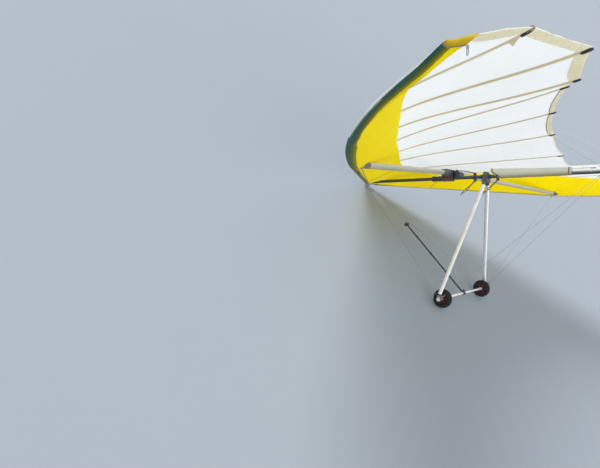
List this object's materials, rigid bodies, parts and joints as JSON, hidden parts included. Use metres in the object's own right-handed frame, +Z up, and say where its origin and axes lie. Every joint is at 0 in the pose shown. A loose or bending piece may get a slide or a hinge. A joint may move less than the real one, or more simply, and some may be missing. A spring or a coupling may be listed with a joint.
{
  "type": "two-seat flex-wing hang glider",
  "caption": "Cloth wing on a tube frame with a wheeled triangular control frame; carries two people hung below the keel.",
  "frame": {"origin": "on the floor, under the middle of the parked glider's box", "axes": "+Z up, -Y towards the nose, +X to the glider's left wing"},
  "size_m": [10.4266, 2.6702, 2.9938],
  "materials": {
    "white_sailcloth": "woven polyester, matt, slightly translucent",
    "yellow_sailcloth": "woven polyester, matt",
    "pocket_cloth": "woven polyester, matt",
    "batten_sleeve": "sewn cloth sleeve",
    "dark_tube": "dark anodised",
    "aluminium_tube": "satin anodised",
    "tyre_rubber": "matt",
    "wheel_hub": "moulded",
    "webbing": "woven nylon webbing",
    "black_plastic": "moulded",
    "steel_fittings": "stainless"
  },
  "bodies": {
    "airframe": {"keel_tube": "dark_tube", "keel_tail_plug": "black_plastic", "rear_wire_anchor": "steel_fittings", "nose_plate": "steel_fittings", "crossbar_hub": "black_plastic", "kingpost": "aluminium_tube", "apex_bracket": "dark_tube", "downtube_left": "aluminium_tube", "corner_fitting_left": "steel_fittings", "downtube_right": "aluminium_tube", "corner_fitting_right": "steel_fittings", "base_tube": "aluminium_tube", "leading_edge_tube_left": "aluminium_tube", "crossbar_left": "aluminium_tube", "joint_bracket_left": "steel_fittings", "leading_edge_tube_right": "aluminium_tube", "crossbar_right": "aluminium_tube", "joint_bracket_right": "steel_fittings", "front_wire_left": "steel_fittings", "rear_wire_left": "steel_fittings", "side_wire_left": "steel_fittings", "upper_side_wire_left": "steel_fittings", "front_wire_right": "steel_fittings", "rear_wire_right": "steel_fittings", "side_wire_right": "steel_fittings", "upper_side_wire_right": "steel_fittings", "upper_front_wire": "steel_fittings", "upper_rear_wire": "steel_fittings", "sail_left": "white_sailcloth", "lower_surface_left": "yellow_sailcloth", "sail_right": "white_sailcloth", "lower_surface_right": "yellow_sailcloth", "batten_7_left": "batten_sleeve", "batten_7_right": "batten_sleeve", "batten_6_left": "batten_sleeve", "batten_6_right": "batten_sleeve", "batten_5_left": "batten_sleeve", "batten_5_right": "batten_sleeve", "batten_4_left": "batten_sleeve", "batten_4_right": "batten_sleeve", "batten_3_left": "batten_sleeve", "batten_3_right": "batten_sleeve", "batten_2_left": "batten_sleeve", "batten_2_right": "batten_sleeve", "batten_1_left": "batten_sleeve", "batten_1_right": "batten_sleeve", "keel_pocket": "pocket_cloth", "keel_sling_front": "webbing", "keel_sling_rear": "webbing"},
    "wheel_left": {"tyre_left": "tyre_rubber", "wheel_hub_left": "wheel_hub"},
    "wheel_right": {"tyre_right": "tyre_rubber", "wheel_hub_right": "wheel_hub"},
    "boom": {"camera_boom": "black_plastic", "camera": "black_plastic"},
    "hang_front": {"hang_strap_front": "webbing", "carabiner_front": "steel_fittings"},
    "hang_rear": {"hang_strap_rear": "webbing", "carabiner_rear": "steel_fittings"}
  },
  "joints": [
    {"name": "wheel_left_spin", "type": "hinge", "parent": "airframe", "child": "wheel_left", "pos_m": [0.636, 0.89023, 0.12], "axis": [1, 0, 0], "continuous": true},
    {"name": "wheel_right_spin", "type": "hinge", "parent": "airframe", "child": "wheel_right", "pos_m": [-0.636, 0.89023, 0.12], "axis": [1, 0, 0], "continuous": true},
    {"name": "boom_tilt", "type": "hinge", "parent": "airframe", "child": "boom", "pos_m": [0, 0.89023, 0.12], "axis": [-1, 0, 0], "range_deg": [-18, 35]},
    {"name": "hang_front_swing", "type": "hinge", "parent": "airframe", "child": "hang_front", "pos_m": [0, -0.10461, 1.24415], "axis": [1, 0, 0], "range_deg": [-25, 55]},
    {"name": "hang_rear_swing", "type": "hinge", "parent": "airframe", "child": "hang_rear", "pos_m": [0, 0.09993, 1.4595], "axis": [1, 0, 0], "range_deg": [-8, 110]}
  ]
}
